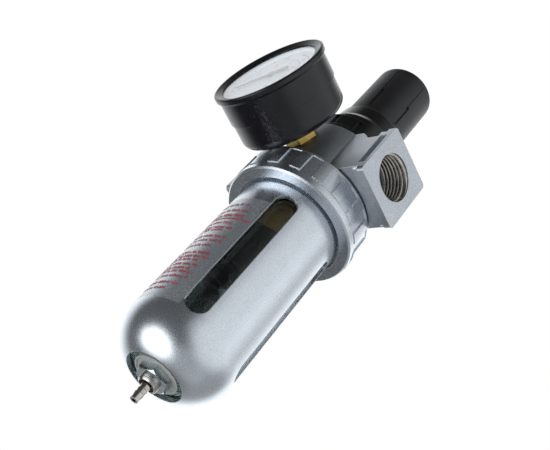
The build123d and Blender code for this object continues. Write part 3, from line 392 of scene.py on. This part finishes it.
FINISHES = {
    "body_paint": metallic_paint(
        "cast_silver_paint", (0.50, 0.54, 0.58, 1), (0.66, 0.70, 0.75, 1),
        rough=0.38, grain=0.55, edge=0.45,
    ),
    "guard_paint": metallic_paint(
        "fine_silver_paint", (0.62, 0.67, 0.73, 1), (0.80, 0.85, 0.91, 1),
        rough=0.27, grain=0.42, edge=0.40,
    ),
    "black_plastic": moulded(
        "gloss_black_nylon", (0.006, 0.006, 0.007, 1), (0.012, 0.012, 0.013, 1),
        rough=0.16, grain=0.8, depth=0.003, edge=0.35,
    ),
    "knob_plastic": moulded(
        "satin_black_knob", (0.016, 0.016, 0.018, 1), (0.026, 0.026, 0.028, 1),
        rough=0.42, grain=0.22, depth=0.016, edge=0.3,
    ),
    "inner_plastic": moulded(
        "matt_black_inner", (0.010, 0.010, 0.011, 1), (0.018, 0.018, 0.019, 1),
        rough=0.5, grain=0.3, depth=0.012,
    ),
    "rubber": moulded(
        "nitrile_rubber", (0.012, 0.012, 0.012, 1), (0.024, 0.023, 0.022, 1),
        rough=0.7, grain=0.25, depth=0.02, edge=0.1,
    ),
    "washer_grey": moulded(
        "pale_washer", (0.40, 0.42, 0.41, 1), (0.52, 0.54, 0.52, 1),
        rough=0.42, grain=0.3, depth=0.008, edge=0.15,
    ),
    "gauge_black": moulded(
        "gloss_black_enamel", (0.004, 0.004, 0.006, 1), (0.008, 0.008, 0.011, 1),
        rough=0.24, grain=2.5, depth=0.004, edge=0.3,
    ),
    "pointer_black": moulded(
        "pointer_enamel", (0.02, 0.024, 0.022, 1), (0.035, 0.04, 0.037, 1),
        rough=0.35, grain=0.3, depth=0.004, edge=0.05,
    ),
    "zinc_steel": plated("bright_zinc", (0.50, 0.56, 0.58, 1), (0.70, 0.76, 0.78, 1), rough=0.24),
    "spring_steel": plated(
        "drawn_wire", (0.34, 0.34, 0.35, 1), (0.52, 0.52, 0.53, 1), rough=0.32, stretch=(1, 1, 1)
    ),
    "inner_aluminium": plated(
        "turned_aluminium", (0.58, 0.59, 0.61, 1), (0.76, 0.77, 0.79, 1),
        rough=0.3, stretch=(0.15, 0.15, 1),
    ),
    "brass": plated(
        "turned_brass", (0.62, 0.40, 0.10, 1), (0.88, 0.62, 0.20, 1), rough=0.20, stretch=(1, 0.12, 1)
    ),
    "nickel": plated(
        "nickel_plate", (0.46, 0.42, 0.39, 1), (0.78, 0.76, 0.73, 1), rough=0.16, stretch=(0.2, 0.2, 1)
    ),
    "sintered_bronze": sintered("sintered_element"),
    "clear_bowl": clear_bowl("clear_polycarbonate"),
    "label_film": film("clear_label"),
    "lens": lens_glass("gauge_glass"),
    "dial_white": dial_card("dial_enamel"),
}
RED_PRINT = printed("red_print", (0.62, 0.03, 0.06, 1), (0.75, 0.25, 0.27, 1))
BLACK_PRINT = printed("black_print", (0.02, 0.022, 0.03, 1), (0.16, 0.17, 0.19, 1))
GREEN_PRINT = printed("green_print", (0.04, 0.30, 0.16, 1), (0.25, 0.5, 0.38, 1))
PORT_METAL = plated(
    "machined_port", (0.42, 0.39, 0.34, 1), (0.66, 0.63, 0.57, 1),
    rough=0.22, stretch=(1, 0.15, 0.15), depth=0.001,
)

for part in frame["record"]["subparts"]:
    node = nodes[part["node"]]
    for material_slot in node.material_slots:
        material_slot.material = FINISHES[part["material_slot"]]


# ---------------------------------------------------------------- pieces
def piece(name, build, body, material, smooth=False):
    """A mesh object made by build(bmesh), riding on a body."""
    shell = bmesh.new()
    build(shell)
    bmesh.ops.recalc_face_normals(shell, faces=shell.faces)
    mesh = bpy.data.meshes.new(name)
    shell.to_mesh(mesh)
    shell.free()
    for face in mesh.polygons:
        face.use_smooth = smooth
    thing = bpy.data.objects.new(name, mesh)
    scene.collection.objects.link(thing)
    mesh.materials.append(material)
    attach(thing, body)
    return thing


def loft(shell, rings):
    """Joins closed rings of points, one to the next, and caps both ends."""
    rows = [[shell.verts.new(point) for point in ring] for ring in rings]
    count = len(rows[0])
    for low, high in zip(rows, rows[1:]):
        for i in range(count):
            j = (i + 1) % count
            shell.faces.new((low[i], low[j], high[j], high[i]))
    shell.faces.new(rows[0])
    shell.faces.new(rows[-1])


RIDGE_HALF = 0.36  # half width of a thread's ridge at its root, as a share of the pitch
RIDGE_FLAT = 0.06  # half width of its crest, likewise
RIDGE_BURIED = 0.08  # how far its foot runs into the metal


def thread(shell, place, start, length, pitch, root, crest, steps=72):
    """A V ridge wound on root radius, that grows and fades over a quarter turn at its ends.

    place(angle, along, radius) gives each point in metres. The lengths are in mm.
    """
    half = pitch * RIDGE_HALF
    flat = pitch * RIDGE_FLAT
    count = int((length - 2 * half) / pitch * steps)
    bury = RIDGE_BURIED if crest > root else -RIDGE_BURIED
    rings = []
    for i in range(count + 1):
        angle = 2 * math.pi * i / steps
        along = start + half + pitch * i / steps
        grow = min(1.0, (i + 1) / (steps / 4), (count + 1 - i) / (steps / 4))
        top = root + (crest - root) * grow
        foot = root - bury
        profile = [(-half, foot), (-half, root), (-flat, top), (flat, top), (half, root), (half, foot)]
        rings.append([place(angle, along + across, radius) for across, radius in profile])
    loft(shell, rings)


def centre(name):
    """The middle of a node's box."""
    low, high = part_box(name)
    return (low + high) / 2


body_low, body_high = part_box("body")
axis = centre("bowl_guard")
_, dial_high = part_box("gauge_dial")
gauge_centre = centre("gauge_lens")

# the ports' inside pipe thread: radii, pitch, length, and how far in from the mouth it starts
PORT_ROOT = 10.46
PORT_CREST = 9.36
PORT_PITCH = 1.814
PORT_THREAD = 13.2
PORT_LEAD = 0.5


def port_thread(name, mouth, inward):
    """The thread in the port whose mouth is at this x, running inward along x."""
    def place(angle, along, radius):
        reach = radius * MM
        return (mouth + inward * along * MM, axis.y + reach * math.cos(angle), reach * math.sin(angle))

    def build(shell):
        thread(shell, place, PORT_LEAD, PORT_THREAD, PORT_PITCH, PORT_ROOT, PORT_CREST)

    piece(name, build, "housing", PORT_METAL, smooth=True)


port_thread("inlet_thread", body_low.x, 1)
port_thread("outlet_thread", body_high.x, -1)

bush_low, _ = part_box("drain_body")
nut_low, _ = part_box("drain_nut")
BUSH_R = 3.98
BUSH_CREST = 4.30
BUSH_PITCH = 0.62
BUSH_LEAD = 0.1  # left bare at the bushing's lower end
BUSH_SPARE = 0.15  # left bare in all


def drain_ridges(shell):
    """The fine thread on the drain bushing, from its lower end to its nut."""
    def place(angle, along, radius):
        reach = radius * MM
        return (axis.x + reach * math.cos(angle), axis.y + reach * math.sin(angle), bush_low.z + along * MM)

    free = (nut_low.z - bush_low.z) / MM
    thread(shell, place, BUSH_LEAD, free - BUSH_SPARE, BUSH_PITCH, BUSH_R, BUSH_CREST, steps=48)


piece("drain_thread", drain_ridges, "bowl", FINISHES["nickel"], smooth=True)

# ---------------------------------------------------------------- label print
film_low, film_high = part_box("label_film")
FILM_R = (axis.y - film_low.y) / MM
FILM_ARC = math.degrees(math.asin((film_high.x - axis.x) / (FILM_R * MM)))
SHEET_SINK = 0.04  # how far the sheet's inner face lies inside the film's outer one
SHEET_T = 0.03
PRINT_T = 0.03
# each line: its middle's height over the film's lower edge and its own height, in mm, then its
# first and last azimuth, in degrees
LINES = [
    (58.5, 1.3, -24, 16),
    (54.5, 1.3, -24, 20),
    (51.1, 1.7, -26, 24),
    (46.1, 1.2, -25, 17),
    (43.0, 1.3, -25, 22),
    (41.3, 1.2, -25, 14),
    (37.2, 1.3, -24, 22),
    (34.5, 1.3, -24, 24),
    (31.3, 1.2, -24, 15),
    (26.6, 1.3, -25, 21),
    (24.2, 1.3, -25, 24),
    (22.2, 1.2, -25, 16),
    (19.4, 1.3, -25, 22),
    (17.0, 1.3, -25, 18),
    (15.0, 1.3, -25, 24),
    (12.2, 1.3, -24, 24),
    (8.3, 1.3, -24, 19),
    (5.1, 1.2, -24, 13),
]
WORD_STROKES = (2, 6)  # fewest and most strokes in a word
STROKE = (1.0, 2.3)  # shortest and longest stroke, in degrees
STROKE_GAP = 0.9
WORD_GAP = 1.7
STROKE_DROPS = (0.0, 0.0, 0.3)  # how far a stroke's top may be below its line's, in mm
# the level line: its height over the film's lower edge, half its own height, and its two azimuths
LEVEL_Z = 48.9
LEVEL_HALF = 0.3
LEVEL_ARC = (-27, 31.5)
BAR_STEP = 1.5  # degrees from one ring of a strip to the next


def bar(shell, low, high, first, last, radius=FILM_R, thick=PRINT_T):
    """A closed strip round the guard between two heights (m) and two azimuths (degrees)."""
    steps = max(1, round((last - first) / BAR_STEP))
    rings = []
    for i in range(steps + 1):
        a = math.radians(first + (last - first) * i / steps)
        out = Vector((math.sin(a), -math.cos(a), 0))
        base = Vector((axis.x, axis.y, 0)) + out * radius * MM
        lift = out * thick * MM
        rings.append([base + Vector((0, 0, low)), base + Vector((0, 0, high)),
                      base + lift + Vector((0, 0, high)), base + lift + Vector((0, 0, low))])
    loft(shell, rings)


def label_text(shell):
    """Lines of plain strokes in word-like groups."""
    draw = random.Random(7)
    for height, tall, first, last in LINES:
        at = first
        low = film_low.z + (height - tall / 2) * MM
        while at < last:
            for _ in range(draw.randint(*WORD_STROKES)):
                wide = draw.uniform(*STROKE)
                if at + wide > last:
                    break
                drop = draw.choice(STROKE_DROPS) * MM
                bar(shell, low, low + tall * MM - drop, at, at + wide)
                at += wide + STROKE_GAP
            at += WORD_GAP


def label_film_sheet(shell):
    bar(shell, film_low.z, film_high.z, -FILM_ARC, FILM_ARC, FILM_R - SHEET_SINK, SHEET_T)


def label_level(shell):
    low = film_low.z + (LEVEL_Z - LEVEL_HALF) * MM
    high = film_low.z + (LEVEL_Z + LEVEL_HALF) * MM
    bar(shell, low, high, *LEVEL_ARC)


sheet = piece("label_sheet", label_film_sheet, "bowl", FINISHES["label_film"], smooth=True)
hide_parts("label_film")
piece("label_print", label_text, "bowl", RED_PRINT)
piece("label_level_line", label_level, "bowl", RED_PRINT)

# ---------------------------------------------------------------- dial print
ZERO = -112.0  # clock angle of the scale's zero, in degrees
SWEEP = 270.0
DIAL_PLATE = 0.6  # thickness of the dial's flat plate
INK_CLEAR = 0.005
DIAL_FACE = dial_high.y - (DIAL_PLATE + INK_CLEAR) * MM
INK_T = 0.04
SECTOR_STEP = 4  # degrees from one ring of a strip to the next
MAJOR_WIDER = 1.6


def on_dial(clock, radius, lift=0.0):
    """The point at this clock angle (degrees) and radius, lifted off the dial's face (both mm)."""
    a = math.radians(clock)
    across, up = radius * MM * math.sin(a), radius * MM * math.cos(a)
    return Vector((gauge_centre.x + across, DIAL_FACE - lift * MM, gauge_centre.z + up))


def sector(shell, inner, outer, first, last):
    """A closed strip on the dial between two radii and two clock angles."""
    steps = max(1, round((last - first) / SECTOR_STEP))
    corners = [(inner, 0.0), (outer, 0.0), (outer, INK_T), (inner, INK_T)]
    rings = []
    for i in range(steps + 1):
        clock = first + (last - first) * i / steps
        rings.append([on_dial(clock, radius, lift) for radius, lift in corners])
    loft(shell, rings)


def ticks(shell, inner, outer, minor, divisions, every, wide):
    """Marks from zero to full scale, with every so many of them longer and wider.

    They end at the outer radius, and start at inner for a longer one and at minor for the rest.
    """
    for i in range(divisions + 1):
        clock = ZERO + SWEEP * i / divisions
        major = i % every == 0
        half = math.degrees(wide * (MAJOR_WIDER if major else 1.0) / outer) / 2
        sector(shell, inner if major else minor, outer, clock - half, clock + half)


def numbers(shell, radius, height, values):
    """Upright figures spread evenly from zero to full scale."""
    tilt = ZERO + SWEEP / 2
    for i, value in enumerate(values):
        words = bpy.data.curves.new("figures", "FONT")
        words.body = value
        words.size = height * MM
        words.extrude = INK_T / 2 * MM
        words.align_x = "CENTER"
        words.align_y = "CENTER"
        words.resolution_u = 3
        holder = bpy.data.objects.new("figures", words)
        scene.collection.objects.link(holder)
        bpy.context.view_layer.update()
        depsgraph = bpy.context.evaluated_depsgraph_get()
        drawn = bpy.data.meshes.new_from_object(holder.evaluated_get(depsgraph))
        clock = ZERO + SWEEP * i / (len(values) - 1)
        turn = Matrix.Rotation(math.radians(tilt), 4, "Y") @ Matrix.Rotation(math.radians(90), 4, "X")
        drawn.transform(Matrix.Translation(on_dial(clock, radius, INK_T / 2)) @ turn)
        shell.from_mesh(drawn)
        bpy.data.objects.remove(holder)
        bpy.data.meshes.remove(drawn)
        bpy.data.curves.remove(words)


def black_scale(shell):
    ticks(shell, inner=18.4, outer=20.8, minor=19.6, divisions=50, every=5, wide=0.24)


def black_figures(shell):
    numbers(shell, radius=15.9, height=3.1, values=("0", "2", "4", "6", "8", "10"))


def red_scale(shell):
    sector(shell, inner=13.6, outer=13.9, first=ZERO, last=ZERO + SWEEP)
    ticks(shell, inner=12.3, outer=13.7, minor=12.9, divisions=30, every=5, wide=0.18)


def red_figures(shell):
    numbers(shell, radius=10.8, height=2.0, values=("0", "25", "50", "75", "100", "125", "150"))


# the two coloured bands: their radii, and where they start and end, in degrees past zero
BAND_INNER = 17.6
BAND_OUTER = 18.2
GREEN_FROM = 27
GREEN_TO = 108
RED_FROM = 135


def red_band(shell):
    sector(shell, BAND_INNER, BAND_OUTER, ZERO + RED_FROM, ZERO + SWEEP)


def green_band(shell):
    sector(shell, BAND_INNER, BAND_OUTER, ZERO + GREEN_FROM, ZERO + GREEN_TO)


piece("dial_scale", black_scale, "housing", BLACK_PRINT)
piece("dial_figures", black_figures, "housing", BLACK_PRINT)
piece("dial_red_scale", red_scale, "housing", RED_PRINT)
piece("dial_red_figures", red_figures, "housing", RED_PRINT)
piece("dial_red_band", red_band, "housing", RED_PRINT)
piece("dial_green_band", green_band, "housing", GREEN_PRINT)


# ---------------------------------------------------------------- floor
FLOOR_DROP = 0.48
FLOOR_HALF = 3.0


def floor_sheet(shell):
    middle = Vector((axis.x, axis.y, cad_box[0][2] - FLOOR_DROP))
    corners = [(-1, -1), (1, -1), (1, 1), (-1, 1)]
    shell.faces.new([shell.verts.new(middle + Vector((x, y, 0)) * FLOOR_HALF) for x, y in corners])


ground = bmesh.new()
floor_sheet(ground)
floor_mesh = bpy.data.meshes.new("floor")
ground.to_mesh(floor_mesh)
ground.free()
floor = bpy.data.objects.new("floor", floor_mesh)
scene.collection.objects.link(floor)
floor_mesh.materials.append(pale_floor("pale_floor"))
floor.visible_diffuse = False
floor.visible_glossy = False
floor.visible_shadow = False
